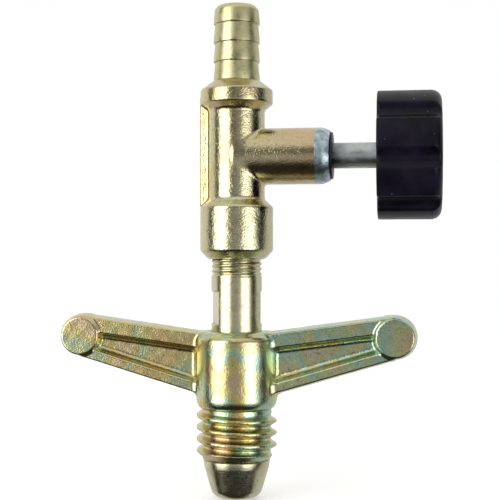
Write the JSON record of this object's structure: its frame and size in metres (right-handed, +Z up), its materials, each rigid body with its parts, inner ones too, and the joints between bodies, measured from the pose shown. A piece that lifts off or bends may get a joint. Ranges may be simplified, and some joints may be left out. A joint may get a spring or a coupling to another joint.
{
  "type": "gas cylinder needle valve",
  "caption": "Needle valve for a gas cylinder: tee body with hose barb, side spindle with fluted knob, and a bullet-nosed nipple clamped by a winged nut.",
  "frame": {"origin": "centre of the flat tip of the bullet nose, on the valve's main axis", "axes": "+Z up the main axis from the nose to the hose barb, +X out along the spindle towards the knob, +Y away from the side the valve is usually seen from"},
  "size_m": [0.0752, 0.025, 0.0967],
  "materials": {
    "cast_plated": "gold iridescent zinc-chromate plating, satin",
    "turned_plated": "turned and plated, bright satin",
    "nut_plated": "gold and green iridescent plating over a fine cast grain",
    "bare_brass": "turned brass",
    "zinc_steel": "grey zinc plating, satin",
    "knob_plastic": "black moulded plastic, semi-gloss",
    "gland_plastic": "black plastic, matt",
    "seal_rubber": "black nitrile rubber",
    "seal_copper": "soft copper, dull"
  },
  "bodies": {
    "valve": {"valve_body": "cast_plated", "hose_barb": "turned_plated", "seat_bush": "bare_brass", "gland_bush": "gland_plastic", "nipple": "turned_plated", "nipple_gasket": "seal_copper"},
    "spindle_seal": {"spindle_oring": "seal_rubber"},
    "spindle_and_knob": {"spindle": "zinc_steel", "knob": "knob_plastic", "knob_screw": "zinc_steel"},
    "nut_ring": {"nut_grip_ring": "seal_rubber"},
    "wing_nut": {"wing_nut": "nut_plated"}
  },
  "joints": [
    {"name": "spindle_travel", "type": "slide", "parent": "valve", "child": "spindle_seal", "axis": [1, 0, 0], "range_m": [0, 0.003]},
    {"name": "spindle_turn", "type": "hinge", "parent": "spindle_seal", "child": "spindle_and_knob", "pos_m": [0, 0, 0.0669], "axis": [1, 0, 0], "range_deg": [0, 1080]},
    {"name": "nut_slide", "type": "slide", "parent": "valve", "child": "nut_ring", "axis": [0, 0, 1], "range_m": [0, 0.0139]},
    {"name": "nut_spin", "type": "hinge", "parent": "nut_ring", "child": "wing_nut", "pos_m": [0, 0, 0], "axis": [0, 0, 1], "continuous": true}
  ],
  "couplings": [
    {"joint": "spindle_turn", "follows": "spindle_travel", "rad_per_m": 6283.2}
  ]
}
